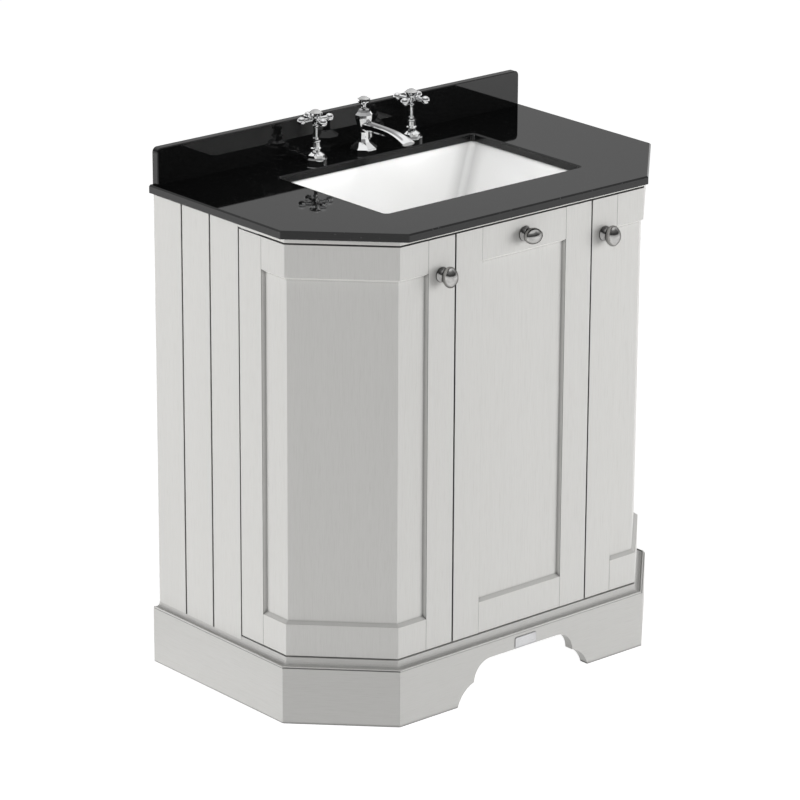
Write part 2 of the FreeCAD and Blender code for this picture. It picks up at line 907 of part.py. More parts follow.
def make_flap():
    edge = half_centre
    inner = half_centre - size("stile_width")
    panel = flap_board("flap_panel", -inner - tongue, inner + tongue, rail_low_top - tongue,
                       rail_top_low + tongue, panel_outer, panel_inner)
    panel.Label = "flap_panel"
    left_blank = flap_board("flap_left_blank", -edge, -inner, door_low, door_top, ZERO, board)
    right_blank = flap_board("flap_right_blank", inner, edge, door_low, door_top, ZERO, board)
    rail_end = inner - joint
    top_blank = flap_board("flap_top_blank", -rail_end, rail_end, rail_top_low, door_top, ZERO,
                           board)
    low_blank = flap_board("flap_low_blank", -rail_end, rail_end, door_low, rail_low_top, ZERO,
                           board)
    left = cut("flap_stile_left", left_blank, [panel] + flap_slot(-size("flap_hinge_x"), "left"))
    right = cut("flap_stile_right", right_blank, [panel] + flap_slot(size("flap_hinge_x"), "right"))
    top = cut("flap_top_rail", top_blank, [panel])
    low = cut("flap_bottom_rail", low_blank, [panel])
    return left, right, top, low, panel


def flap_slot(x, side):
    """The slot for a hinge blade and the bore for its pin, both in the foot of a stile."""
    play = size("flap_slot_play")
    half = size("flap_blade") / 2 + play
    eye = size("flap_eye") + play
    slot = box(f"flap_slot_{side}", (x - half, flap_axis_y, door_low - overrun),
               (half * 2, at(size("body_depth") - board) + overrun - flap_axis_y,
                flap_axis_z + eye - door_low + overrun))
    round_end = cylinder(f"flap_slot_round_{side}", (x - half, flap_axis_y, flap_axis_z), eye,
                         half * 2, turn(0, 1, 0, 90))
    foot = box(f"flap_slot_foot_{side}", (x - half, flap_axis_y - eye, door_low - overrun),
               (half * 2, eye, flap_axis_z - door_low + overrun))
    pin_half = size("flap_pin_half") + size("pass_gap")
    bore = cylinder(f"flap_bore_{side}", (x - pin_half, flap_axis_y, flap_axis_z),
                    size("flap_pin") + size("pin_play"), pin_half * 2, turn(0, 1, 0, 90))
    return [slot, round_end, foot, bore]


def make_flap_bracket(side, x):
    """A blade that reaches forward into the slot from a plate screwed down behind the flap."""
    half = size("flap_blade") / 2
    back_y = at(size("body_depth") - board) + door_gap
    eye = cylinder(f"flap_eye_{side}", (x - half, flap_axis_y, flap_axis_z), size("flap_eye"),
                   half * 2, turn(0, 1, 0, 90))
    arm = box(f"flap_arm_{side}", (x - half, flap_axis_y, flap_axis_z - size("flap_eye")),
              (half * 2, back_y + size("flap_leg") - flap_axis_y, size("flap_eye")))
    leg = box(f"flap_leg_{side}", (x - half, back_y, base_top),
              (half * 2, size("flap_leg"), flap_axis_z - base_top))
    plate = box(f"flap_plate_{side}", (x - size("flap_plate_wide") / 2, back_y, base_top),
                (size("flap_plate_wide"), size("flap_plate_long"), size("pivot_plate_thick")))
    pin = cylinder(f"flap_pin_{side}", (x - size("flap_pin_half"), flap_axis_y, flap_axis_z),
                   size("flap_pin"), size("flap_pin_half") * 2, turn(0, 1, 0, 90))
    return fuse(f"flap_bracket_{side}", [eye, arm, leg, plate, pin])


def stay_point(radius, angle):
    return flap_axis_y + radius * angle.cosine(), flap_axis_z + radius * angle.sine()


def make_stay(side, x):
    """A quarter-round bar centred on the flap's hinge line, with a foot and an end peg."""
    outer = size("stay_radius") + size("stay_wide") / 2
    inner = size("stay_radius") - size("stay_wide") / 2
    top = size("stay_top_angle")
    end = size("stay_end_angle")
    outline = [
        (*stay_point(outer, end), Arc(outer, 1)),
        stay_point(outer, top),
        (*stay_point(inner, top), Arc(inner, -1)),
        stay_point(inner, end),
    ]
    bar = prism(f"stay_bar_{side}", "YZ_Plane", x - size("stay_thick") / 2, size("stay_thick"),
                [outline])
    peg_y, peg_z = stay_point(size("stay_radius"), end)
    peg = cylinder(f"stay_peg_{side}", (x - size("stay_peg_half"), peg_y, peg_z),
                   size("stay_peg"), size("stay_peg_half") * 2, turn(0, 1, 0, 90))
    foot_z = flap_axis_z + size("stay_radius") - size("stay_foot_high") / 2
    foot = box(f"stay_foot_{side}",
               (x - size("stay_foot_wide") / 2, at(size("body_depth") - board), foot_z),
               (size("stay_foot_wide"), size("stay_foot_thick"), size("stay_foot_high")))
    return fuse(f"stay_{side}", [bar, peg, foot])


def make_guide(side, sign):
    """The keeper on a front post that a stay slides through."""
    x = size("stay_x") * sign
    slot_half = size("stay_thick") / 2 + size("guide_slot_play")
    post_face = half_centre + door_gap / 2 - board / 2
    inner = size("stay_x") - slot_half - size("guide_wall")
    near, far = size("guide_near"), size("guide_far")
    middle = flap_axis_z + size("stay_radius")
    low = middle - size("guide_half_high")
    low_x = inner if sign > 0 else -post_face
    block = box(f"guide_block_{side}", (low_x, flap_axis_y + near, low),
                (post_face - inner, far - near, size("guide_half_high") * 2))
    slot = box(f"guide_slot_{side}",
               (x - slot_half, flap_axis_y + near - overrun,
                middle - size("guide_slot_half") - size("guide_slot_drop")),
               (slot_half * 2, far - near + overrun * 2, size("guide_slot_half") * 2))
    return cut(f"guide_{side}", block, [slot])


def make_catch(name, x):
    """A magnetic catch under the top frame."""
    front = at(size("body_depth") - board - size("pass_gap") - size("strike_thick"))
    return box(name, (x - size("catch_long") / 2, front, frame_z - size("catch_high")),
               (size("catch_long"), size("catch_deep"), size("catch_high")))


def make_strike(name, x):
    """The steel plate on a door's inner face that the catch holds."""
    back = at(size("body_depth") - board)
    middle = frame_z - size("catch_high") / 2
    thing = box(name, (x - size("strike_long") / 2, back, middle - size("strike_high") / 2),
                (size("strike_long"), size("strike_thick"), size("strike_high")))
    thing.Label = name
    return thing


# Knobs: a turned foot and neck with an egg-shaped head

def egg_outline():
    """Half an oval of three arcs that run smoothly into each other."""
    long, short, tip = size("knob_half_long"), size("knob_half_short"), size("knob_tip")
    rise = long - tip
    side = (short * short + rise * rise - tip * tip) / ((short - tip) * 2)
    across = (side - short) * tip / (side - tip)
    up = side * rise / (side - tip)
    return [
        (ZERO, -long, Arc(tip, 1)),
        (across, -up, Arc(side, 1)),
        (across, up, Arc(tip, 1)),
        (ZERO, long),
    ]


def make_knob(label, x, z, upright):
    foot = size("knob_foot")
    reach = size("knob_standout") - size("knob_half_short")
    rim, hollow, neck = KNOB_STEM_SHARES
    outline = [
        (ZERO, ZERO),
        (foot, ZERO),
        (foot * rim[0], reach * rim[1]),
        (foot * hollow[0], reach * hollow[1], Arc(foot * KNOB_HOLLOW_SHARE, -1)),
        (size("knob_neck"), reach * neck[1]),
        (size("knob_neck"), reach),
        (ZERO, reach),
    ]
    stem = turned(f"{label}_stem", outline)
    place(stem, x, at(size("body_depth")), z, turn(1, 0, 0, 90))
    head = turned(f"{label}_head", egg_outline())
    place(head, x, at(size("body_depth") + reach), z, turn(0, 1, 0, 0 if upright else 90))
    return fuse(label, [stem, head])


# Basin hung under the worktop by six clips

def bowl_section(level_share, grow, bevel, radius):
    """The bowl's outline at a share of its depth, grown outwards for the outer skin."""
    out = size("basin_reveal") + grow
    half_x = half_cutout + out - size("basin_side_slope") * level_share - bevel
    front = basin_depth + half_cutout_deep + out - size("basin_front_slope") * level_share - bevel
    back = size("cutout_back") - out + size("basin_back_slope") * level_share + bevel
    return rounded_rectangle(half_x, at((front + back) / 2), (front - back) / 2, radius)


def make_basin():
    deep = size("basin_deep")
    bevel = size("basin_floor_bevel")
    crease = (deep - bevel) / deep
    wall = size("basin_wall")
    low_round = size("basin_low_round")
    rim = rounded_rectangle(rim_half_x, at(basin_depth), rim_half_y, size("basin_low_round"))
    body = prism("basin", "XY_Plane", rim_z, size("rim_thick"), [rim])
    add_loft(body, "PartDesign::AdditiveLoft", "XY_Plane", [
        (under_z - seat_gap, bowl_section(ZERO, wall, ZERO, low_round)),
        (floor_z + bevel - wall, bowl_section(crease, wall, ZERO, low_round)),
        (floor_z - wall, bowl_section(crease, wall, bevel, low_round)),
    ])
    top_round = size("basin_top_round")
    add_loft(body, "PartDesign::SubtractiveLoft", "XY_Plane", [
        (under_z, bowl_section(ZERO, ZERO, ZERO, top_round)),
        (floor_z + bevel, bowl_section(crease, ZERO, ZERO, top_round)),
        (floor_z, bowl_section(crease, ZERO, bevel, top_round)),
    ])
    hole = Circle(ZERO, at(basin_depth), size("waste_tube") + size("waste_play"))
    add_pocket(body, "XY_Plane", floor_z - wall - overrun, wall + overrun * 2, [hole])
    return body


def make_clip(number, x, y, angle):
    """A step-shaped clip: its foot meets the worktop and its toe carries the basin rim."""
    foot, reach, plate = size("clip_foot"), size("clip_reach"), size("clip_plate")
    drop = -size("rim_thick") - seat_gap
    step = [
        (seat_gap, ZERO),
        (seat_gap, drop),
        (-reach, drop),
        (-reach, drop - plate),
        (foot, drop - plate),
        (foot, ZERO),
    ]
    clip = prism(f"clip_{number}", "XZ_Plane", -size("clip_long") / 2, size("clip_long"), [step])
    return place(clip, x, y, under_z, turn(0, 0, 1, angle))


def make_clips():
    back_y = at(basin_depth - rim_half_y)
    front_y = at(basin_depth + rim_half_y)
    back_x, front_x = size("clip_back_x"), size("clip_front_x")
    places = (
        (rim_half_x, at(basin_depth)),
        (-rim_half_x, at(basin_depth)),
        (back_x, back_y),
        (-back_x, back_y),
        (front_x, front_y),
        (-front_x, front_y),
    )
    clips = [make_clip(number, *where, angle)
             for number, (where, angle) in enumerate(zip(places, CLIP_TURNS), start=1)]
    return group("basin_clips", clips)


# Waste: flange, threaded tube, tail and the side port of the pop-up linkage

waste_y = at(basin_depth)
port_z = floor_z - size("lever_drop")
ball_y = waste_y + size("ball_out")


def make_waste():
    flange, thick = size("waste_flange"), size("waste_flange_thick")
    tube_low = -size("waste_tube_long")
    tail_low = tube_low - size("waste_tail_long")
    bore, seat = size("waste_bore"), size("waste_seat")
    nut_top = -size("basin_wall") - seat_gap
    nut_low = nut_top - size("waste_nut_thick")
    outline = [
        (bore, tail_low),
        (size("waste_tail"), tail_low),
        (size("waste_tail"), tube_low),
        (size("waste_tube"), tube_low),
        (size("waste_tube"), nut_low),
        (size("waste_nut"), nut_low),
        (size("waste_nut"), nut_top),
        (size("waste_tube"), nut_top),
        (size("waste_tube"), seat_gap),
        (flange, seat_gap),
        (seat + thick, seat_gap + thick),
        (seat, seat_gap + thick),
        (bore, seat_gap - (seat - bore)),
    ]
    barrel = place(turned("waste_barrel", outline), ZERO, waste_y, floor_z)
    port = cylinder("waste_port", (ZERO, waste_y + bore + overrun, port_z), size("port_radius"),
                    size("port_long") - bore - overrun, turn(1, 0, 0, -90))
    nut = prism("waste_port_nut", "XY_Plane", ZERO, size("port_nut_long"),
                [ring_of(size("port_nut"), NUT_SIDES)])
    place(nut, ZERO, waste_y + size("port_long") - size("port_nut_long") - size("pass_gap"), port_z,
          turn(1, 0, 0, -90))
    channel = cylinder("waste_channel", (ZERO, waste_y, port_z),
                       size("ball_radius") + size("pin_play"),
                       size("port_long") + overrun, turn(1, 0, 0, -90))
    return cut("waste_body", fuse("waste_solid", [barrel, port, nut]), [channel])


def ring_of(radius, count):
    """A regular polygon with a flat side towards each axis."""
    step = 2 * math.pi / count
    angles = [step * (number + 1 / 2) for number in range(count)]
    return [(radius * math.cos(angle), radius * math.sin(angle)) for angle in angles]


def make_plug():
    """The pop-up plug, standing open above the flange on a stem that rests on the lever."""
    low = -size("lever_drop") + size("lever_radius") + seat_gap
    disc = size("waste_flange_thick") + seat_gap + size("plug_rise")
    radius, thick, stem = size("plug_radius"), size("plug_thick"), size("plug_stem")
    outline = [
        (ZERO, low, Arc(stem, 1)),
        (stem, low + stem),
        (stem, disc),
        (radius, disc),
        (radius, disc + thick / 2),
        (radius - thick / 2, disc + thick, Arc(dome_radius(radius - thick / 2, thick / 2), 1)),
        (ZERO, disc + thick + thick / 2),
    ]
    return place(turned("waste_plug", outline), ZERO, waste_y, floor_z)


def dome_radius(half, rise):
    """Radius of a dome that rises this much over a flat of this half width."""
    return (half * half + rise * rise) / (rise * 2)


def make_lever():
    """The horizontal rod of the pop-up linkage with its ball."""
    reach = basin_depth - size("tap_back") + size("lever_tail") + size("lever_tip")
    rod = cylinder("lever_rod", (ZERO, waste_y - size("lever_tip"), port_z), size("lever_radius"),
                   reach, turn(1, 0, 0, -90))
    ball = doc.addObject("Part::Sphere", "lever_ball")
    bind(ball, "Radius", size("ball_radius"))
    place(ball, ZERO, ball_y, port_z)
    return fuse("pivot_rod", [rod, ball])


def make_strap():
    """A strip hung from the lift rod, with a hole that the lever passes through."""
    tap_y = at(size("tap_back"))
    block_top = top_z - size("lift_long") + size("strap_block_high") / 2
    block_low = block_top - size("strap_block_high")
    half_block = size("strap_block") / 2
    block = box("strap_block", (-half_block, tap_y - half_block, block_low),
                (half_block * 2, half_block * 2, size("strap_block_high")))
    strip_low = port_z - size("strap_tail_long")
    strip = box("strap_strip", (-size("strap_wide") / 2, tap_y - size("strap_thick") / 2, strip_low),
                (size("strap_wide"), size("strap_thick"), block_low + overrun - strip_low))
    hole = cylinder("strap_hole", (ZERO, tap_y - overrun, port_z), size("strap_hole"), overrun * 2,
                    turn(1, 0, 0, -90))
    bore = cylinder("strap_bore", (ZERO, tap_y, top_z - size("lift_long")),
                    size("lift_radius") + size("pin_play"), size("strap_block_high"))
    return cut("clevis_strap", fuse("strap_solid", [block, strip]), [hole, bore])


# Taps: two valve bodies, two cross handles, the spout and its lift rod

def make_valve(label, x):
    base, high = size("tap_base"), size("tap_body_high")
    spindle = size("spindle_radius")
    shank, tail = size("shank_radius"), size("tail_radius")
    shank_low = -size("top_thick") - size("shank_long")
    tail_low = shank_low - size("tail_long")
    outline = [(ZERO, tail_low), (tail, tail_low), (tail, shank_low), (shank, shank_low),
               (shank, ZERO)]
    outline += [(base * across, high * up) for across, up in TAP_BODY_SHARES]
    outline += [
        (spindle, high),
        (spindle, high + size("spindle_long")),
        (ZERO, high + size("spindle_long")),
    ]
    return place(turned(label, outline), x, at(size("tap_back")), top_z)


def make_handle_arm(name, root, number):
    """One arm of a cross handle, turned with the ball at its end."""
    ball, neck, reach = size("handle_ball"), size("handle_neck_angle"), size("handle_reach")
    outline = [
        (ZERO, root),
        (size("handle_arm_thin"), root),
        (ball * neck.sine(), reach - ball * neck.cosine(), Arc(ball, 1)),
        (ZERO, reach + ball),
    ]
    return place(turned(name, outline), ZERO, ZERO, size("handle_axis"),
                 FreeCAD.Rotation(90 * number, 90, 0))


def make_handle(label, x, angle):
    """A cross handle with four ball ends on the valve spindle."""
    foot = size("tap_body_high") + seat_gap
    rise = size("handle_top") - foot
    bore = size("spindle_radius") + size("pin_play")
    bore_top = size("tap_body_high") + size("spindle_long") + seat_gap
    outline = [(size("handle_cup") * across, foot + rise * up) for across, up in HANDLE_SHARES]
    outline += [(ZERO, size("handle_top")), (ZERO, bore_top), (bore, bore_top), (bore, foot)]
    hub = turned(f"{label}_hub", outline)
    arms = [make_handle_arm(f"{label}_arm{number}", bore, number) for number in range(4)]
    handle = fuse(label, [hub, *arms])
    return place(handle, x, at(size("tap_back")), top_z, turn(0, 0, 1, angle))


def make_button(label, x, radius, high, seat_z):
    """A domed white button, on top of a cross handle or of the lift knob."""
    outline = [(ZERO, ZERO), (radius, ZERO, Arc(dome_radius(radius, high), 1)), (ZERO, high)]
    return place(turned(label, outline), x, at(size("tap_back")), seat_z + seat_gap)


def make_handle_cap(label, x):
    return make_button(label, x, size("button_radius"), size("button_high"),
                       top_z + size("handle_top"))


def ribbed_section(half, low, high):
    """A ten-sided section for the spout arm: bevelled below, with a raised rib along its top."""
    flat, rib = half * ARM_BEVEL_SHARE, half * ARM_RIB_SHARE
    edge = (high - low) * ARM_EDGE_SHARE
    ledge = half * ARM_LEDGE_SHARES[0]
    ledge_z = high - (high - low) * ARM_LEDGE_SHARES[1]
    return [(-flat, low), (flat, low), (half, low + edge), (half, high - edge), (ledge, ledge_z),
            (rib, high), (-rib, high), (-ledge, ledge_z), (-half, high - edge),
            (-half, low + edge)]


def make_spout():
    tap_y = at(size("tap_back"))
    base, high = size("spout_base"), size("spout_high")
    column = new_body("spout_column")
    add_loft(column, "PartDesign::AdditiveLoft", "XY_Plane",
             [(high * up, ring_of(base * across, SPOUT_SIDES)) for across, up in SPOUT_SHARES])
    place(column, ZERO, tap_y, top_z)
    arm = new_body("spout_arm")
    sections = []
    for along, across, low, up in ARM_SHARES:
        depth = size("tap_back") + size("arm_reach") * along
        sections.append((-at(depth), ribbed_section(
            size("arm_half_wide") * across, top_z + high * low, top_z + high * up)))
    add_loft(arm, "PartDesign::AdditiveLoft", "XZ_Plane", sections, ruled=False)
    scroll = doc.addObject("Part::Torus", "spout_scroll")
    bind(scroll, "Radius1", size("scroll_ring"))
    bind(scroll, "Radius2", size("scroll_wire"))
    bind(scroll, "Angle3", size("scroll_sweep"))
    place(scroll, ZERO, at(size("scroll_depth")), top_z + size("scroll_high"),
          FreeCAD.Rotation(90, 0, 90))
    tail = -size("top_thick") - size("shank_long")
    shank = cylinder("spout_shank", (ZERO, tap_y, top_z + tail), size("shank_radius"),
                     overrun - tail)
    solid = fuse("spout_solid", [column, arm, scroll, shank])
    bore = cylinder("spout_bore", (ZERO, tap_y, top_z + tail - overrun),
                    size("lift_radius") + size("pin_play"), high - tail + overrun * 2)
    mouth = cylinder("spout_mouth",
                     (ZERO, at(size("arm_mouth_depth")), top_z + size("arm_mouth_low")),
                     size("arm_mouth"), size("arm_mouth_high"))
    return cut("spout", solid, [bore, mouth])


def make_lift_rod():
    """The rod through the spout, with a flared knob on top."""
    low = -size("lift_long")
    foot = size("spout_high") + size("pass_gap")
    outline = [(ZERO, low), (size("lift_radius"), low), (size("lift_radius"), foot)]
    outline += [(size("lift_cup") * across, foot + size("lift_cup_high") * up)
                for across, up in LIFT_KNOB_SHARES]
    outline += [(ZERO, foot + size("lift_cup_high"))]
    return place(turned("lift_rod", outline), ZERO, at(size("tap_back")), top_z)


def make_backnuts():
    nuts = []
    for number, x in enumerate((-size("tap_x"), ZERO, size("tap_x")), start=1):
        bore = Circle(ZERO, ZERO, size("shank_radius") + size("pin_play"))
        nut = prism(f"backnut_{number}", "XY_Plane", ZERO, size("nut_thick"),
                    [ring_of(size("nut_radius"), NUT_SIDES), bore])
        nuts.append(place(nut, x, at(size("tap_back")), under_z - seat_gap - size("nut_thick")))
    return group("tap_backnuts", nuts)


# Assembly list

left_knob_x = (latch_x + stile_end_x) / 2
side_panel = make_side_panel()
plinth_side = make_plinth_side()
plinth_corner = make_plinth_corner()
front_post = make_front_post()
left_door = make_corner_door()
left_bushes = make_door_bushes()
left_knob = make_knob("left_door_knob", left_knob_x, door_top - size("knob_drop"), True)
left_strike = make_strike("left_door_strike", -size("catch_x"))
door_parts = (*left_door, left_bushes, left_knob, left_strike)

NODES = [
    side_panel,
    mirrored("side_panel_right", side_panel),
    make_base_panel(),
    make_top_frame(),
    make_wall_rail(),
    make_back_rail("back_rail_bottom", base_top),
    front_post,
    mirrored("front_post_right", front_post),
    make_plinth_front(),
    plinth_side,
    mirrored("plinth_side_right", plinth_side),
    plinth_corner,
    mirrored("plinth_corner_right", plinth_corner),
    make_plinth_rear(),
    make_plinth_moulding(),
    make_worktop(),
    make_splashback(),
    make_basin(),
    make_clips(),
    make_waste(),
    make_plug(),
    make_lever(),
    make_strap(),
    make_valve("valve_body_left", -size("tap_x")),
    make_valve("valve_body_right", size("tap_x")),
    make_handle("handle_left", -size("tap_x"), size("handle_left_turn").number),
    make_handle("handle_right", size("tap_x"), size("handle_right_turn").number),
    make_handle_cap("handle_cap_left", -size("tap_x")),
    make_handle_cap("handle_cap_right", size("tap_x")),
    make_spout(),
    make_lift_rod(),
    make_button("lift_cap", ZERO, size("lift_cap_radius"), size("lift_cap_high"),
                top_z + size("spout_high") + size("pass_gap") + size("lift_cup_high")),
    make_backnuts(),
    make_door_pivots(),
    group("flap_pivots", [make_flap_bracket("left", -size("flap_hinge_x")),
                          make_flap_bracket("right", size("flap_hinge_x"))]),
    *make_flap(),
    make_knob("flap_knob", ZERO, door_top - size("door_rail") / 2, False),
    group("flap_stays", [make_stay("left", -size("stay_x")), make_stay("right", size("stay_x")),
                         make_strike("flap_strike", ZERO)]),
    group("stay_guides", [make_guide("left", -1), make_guide("right", 1)]),
    group("magnetic_catches", [make_catch("catch_left", -size("catch_x")),
                               make_catch("catch_middle", ZERO),
                               make_catch("catch_right", size("catch_x"))]),
    *door_parts,
    *(mirrored(part.Label.replace("left", "right"), part) for part in door_parts),
]

doc.recompute()

for thing in doc.Objects:
    if "Invalid" in thing.State or "Error" in thing.State:
        raise RuntimeError(f"{thing.Label} did not build: {thing.State}")
for node in NODES:
    if node.Shape.isNull() or not node.Shape.isValid() or not node.Shape.Solids:
        raise RuntimeError(f"{node.Label} has no sound solid")

os.makedirs("parts", exist_ok=True)
for node in NODES:
    node.Shape.exportStep(f"parts/{node.Label}.step")
    box_of = node.Shape.BoundBox
    print(f"{node.Label:26s} {len(node.Shape.Solids)} {node.Shape.Volume:12.0f} "
          f"x {box_of.XMin:.1f} {box_of.XMax:.1f} y {box_of.YMin:.1f} {box_of.YMax:.1f} "
          f"z {box_of.ZMin:.1f} {box_of.ZMax:.1f}")
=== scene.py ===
import json
import math

import bmesh
import bpy
from mathutils import Matrix, Vector


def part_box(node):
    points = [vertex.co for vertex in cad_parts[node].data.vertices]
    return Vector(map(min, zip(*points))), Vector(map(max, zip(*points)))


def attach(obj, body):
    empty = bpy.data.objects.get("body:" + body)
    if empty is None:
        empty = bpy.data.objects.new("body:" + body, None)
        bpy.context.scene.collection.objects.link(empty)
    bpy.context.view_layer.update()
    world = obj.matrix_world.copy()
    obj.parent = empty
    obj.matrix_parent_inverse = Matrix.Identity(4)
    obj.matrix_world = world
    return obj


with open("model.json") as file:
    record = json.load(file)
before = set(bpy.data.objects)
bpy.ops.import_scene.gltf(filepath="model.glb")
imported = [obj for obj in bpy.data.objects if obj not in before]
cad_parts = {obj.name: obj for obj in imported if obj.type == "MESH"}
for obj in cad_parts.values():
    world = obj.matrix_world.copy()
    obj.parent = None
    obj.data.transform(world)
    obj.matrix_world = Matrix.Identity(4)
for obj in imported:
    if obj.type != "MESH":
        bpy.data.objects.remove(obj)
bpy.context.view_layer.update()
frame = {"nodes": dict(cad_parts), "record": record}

NODES = frame["nodes"]
MM = 0.001

# Eased edges of the painted boards
EASED_EDGE = 0.8 * MM
EASED_SEGMENTS = 2
SHARP_FROM = math.radians(35)
WELD_REACH = 0.01 * MM

# The clipped corner's reach along the side, the doors' recess and the sloped ledge round it
BODY_CORNER = 133 * MM
HALF_BEND = math.radians(22.5)
RECESS = 7 * MM
LEDGE_START = 0.9 * MM
LEDGE_FOOT = 5 * MM
LEDGE_SIDE = 2.5 * MM
LEDGE_HEAD = 4.5 * MM

# The bare plate on the plinth front, and its rim's (growth, height) in millimetres
BADGE_WIDTH = 48 * MM
BADGE_HEIGHT = 20 * MM
BADGE_CORNER = 3 * MM
BADGE_EAST = 3 * MM
BADGE_DROP = 15.5 * MM
BADGE_RIM = ((0.0, 0.0), (0.0, 1.2), (-0.5, 1.6), (-1.4, 1.6), (-1.9, 1.1))
BADGE_SHARP_FROM = math.radians(30)
CORNER_STEP = 15

# Camera, fitted to the photograph's edges: metres, radians and millimetres of lens
CAMERA_PLACE = (-4.45363, -5.08965, 2.79833)
CAMERA_HEADING = 0.709978
CAMERA_DIP = 0.333508
CAMERA_ROLL = 0.004886
CAMERA_LENS = 187.13
CAMERA_SENSOR = 36.0
CAMERA_RANGE = 100.0

# Soft boxes: name, place, aim, size in metres, watts
LAMPS = (
    ("side_light", (-3.8, 2.2, 0.8), (0, 0, 0.4), (3.0, 1.5), 108),
    ("front_light", (2.6, -3.6, 1.1), (0, 0, 0.5), (3.0, 2.0), 103),
    ("bowl_light", (-0.03, -0.19, 1.2), (0, 0.02, 0.78), (0.5, 0.1), 2.15),
    ("floor_bounce", (-0.3, -2.2, 0.002), (-0.3, -2.2, 1), (5.0, 5.0), 31),
)

# Studio floor
FLOOR_REACH = 12.0
FLOOR_TONE = 0.42
FLOOR_GLOW = 0.9

# World tones, and the bands of height (the Z of a direction) over which they change
ROOM_BAND, ROOM_LOW, ROOM_HIGH = (0.0, 0.8), 0.84, 0.08
NEAR_BAND, NEAR_LOW, NEAR_HIGH = (0.3, 0.85), 0.03, 0.3
FAR_BAND, FAR_LOW, FAR_HIGH = (0.42, 0.62), 0.46, 1.0
HORIZON_BAND = (0.08, 0.2)
CEILING_BAND = (0.82, 0.92)
# The level direction from the photograph's side to the wall, and where near turns to far
AWAY_X, AWAY_Y = 0.65, 0.76
AWAY_BAND = (-0.1, 0.5)

# The band that most values of a noise lie in
MIDDLE = (0.3, 0.7)

# Paint: noise scales of its streaks, cloud and pores, then its shades as shares of its tone
UPRIGHT_GRAIN = (900, 900, 9), (90, 90, 3), (1600, 1600, 30)
LEVEL_GRAIN = (9, 9, 900), (3, 3, 90), (30, 30, 1600)
PAINT_LIGHT = (1.012, 1.004, 0.977)
PAINT_DARK = (0.976, 0.968, 0.939)
PAINT_PITS = (0.935, 0.925, 0.895)
PIT_BAND = (0.36, 0.46)
STREAK_SHARE, CLOUD_SHARE = 0.65, 0.35

# Painted shade in gaps and inner corners: reach in metres, tone left, then the openness it fades
# over
JOINT_SHADE = (0.008, 0.2)
PLINTH_SHADE = (0.003, 0.2)
COVE_SHADE = (0.009, 0.1, 0.66, 0.93)
GLAZE_SHADE_LEFT = 0.6

# Stone: crystals and flecks per metre, then which flecks show and how large they are
CRYSTAL_SCALE, CRYSTAL_BAND = 650.0, (0.2, 1.0)
FLECK_SCALE, FLECK_CHOICE, FLECK_SIZE = 240.0, (0.93, 0.94), (0.18, 0.3)
MOTTLE_BAND = (0.35, 0.7)

# Metals: the band of their smears, and how much darker these are
SMEAR_BAND = (0.35, 0.65)
SMEAR_TONE = 0.93
# Pewter's patina and painted shade in its hollows and near the door: reach in metres and the
# openness it fades over
PATINA_AND_SHADE_REACH, PATINA_AND_SHADE_BAND = 0.016, (0.3, 0.98)

# Nodes whose finish isn't the one that their slot names: the plinth boards' paint has level grain
# and is darker as painted shade, and the moulding's has deeper painted shade in its cove
OTHER_FINISH = {
    "plinth_front": "level_timber",
    "plinth_side_left": "level_timber",
    "plinth_side_right": "level_timber",
    "plinth_corner_left": "level_timber",
    "plinth_corner_right": "level_timber",
    "base_panel": "level_timber",
    "plinth_moulding": "painted_shade_cove_timber",
}

# A recess trim's finishes, and their places in its list: plain paint, paint lightened as a painted
# highlight on the head's slope, and paint darkened as painted shade on the foot's slope
TRIM_FINISHES = ("painted_timber", "painted_highlight_arris", "painted_shade_ledge")
PAINT, ARRIS, LEDGE = range(3)


# Node trees

